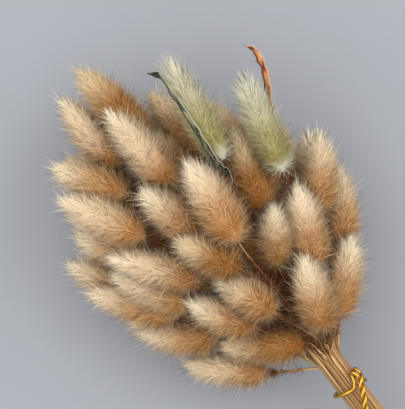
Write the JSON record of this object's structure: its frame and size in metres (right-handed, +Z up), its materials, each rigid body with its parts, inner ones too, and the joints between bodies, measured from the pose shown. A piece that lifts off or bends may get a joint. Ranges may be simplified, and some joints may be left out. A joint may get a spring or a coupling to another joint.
{
  "type": "dried bunny tail grass",
  "caption": "Tied bunch of dried bunny tail grass: furry oval seed heads fanned out on straw stems gathered by a twisted gold wire, lying flat for display.",
  "frame": {"origin": "middle of the bounding box, on the table that the bunch lies on", "axes": "+X along the bunch from the cut stems to the furry heads, +Y across it, +Z up from the table"},
  "size_m": [0.4046, 0.133, 0.1024],
  "materials": {
    "head": "soft matt fur, tan to cream",
    "head_green": "soft matt fur, pale green",
    "stems": "dry straw, satin",
    "leaf_green": "dry leaf, dark grey-green",
    "leaf_brown": "dry leaf, orange-brown",
    "tie_wire": "polished gold"
  },
  "bodies": {
    "root": {"head_upper_01": "head", "head_upper_02": "head", "head_upper_03": "head", "head_upper_04": "head", "head_upper_05": "head", "head_upper_06": "head", "head_upper_07": "head", "head_upper_08": "head", "head_upper_09": "head", "head_upper_10": "head", "head_upper_11": "head", "head_upper_12": "head", "head_upper_13": "head", "head_upper_14": "head", "head_upper_15": "head", "head_upper_16": "head", "head_upper_17": "head", "head_upper_18": "head", "head_upper_19": "head", "head_upper_20": "head", "head_upper_21": "head", "head_upper_22": "head", "head_upper_23": "head", "head_upper_24": "head", "head_upper_25": "head", "head_upper_26": "head", "head_upper_27": "head", "head_upper_28": "head", "head_middle_01": "head", "head_middle_02": "head", "head_middle_03": "head", "head_middle_04": "head", "head_middle_05": "head", "head_middle_06": "head", "head_middle_07": "head", "head_middle_08": "head", "head_middle_09": "head", "head_middle_10": "head", "head_middle_11": "head", "head_middle_12": "head", "head_lower_01": "head", "head_lower_02": "head", "head_lower_03": "head", "head_lower_04": "head", "head_lower_05": "head", "head_lower_06": "head", "head_lower_07": "head", "head_lower_08": "head", "head_lower_09": "head", "head_lower_10": "head", "head_lower_11": "head", "head_lower_12": "head", "head_lower_13": "head", "head_green_1": "head_green", "head_green_2": "head_green", "stems": "stems", "leaf_green": "leaf_green", "leaf_brown": "leaf_brown", "tie_wire": "tie_wire"}
  },
  "joints": []
}
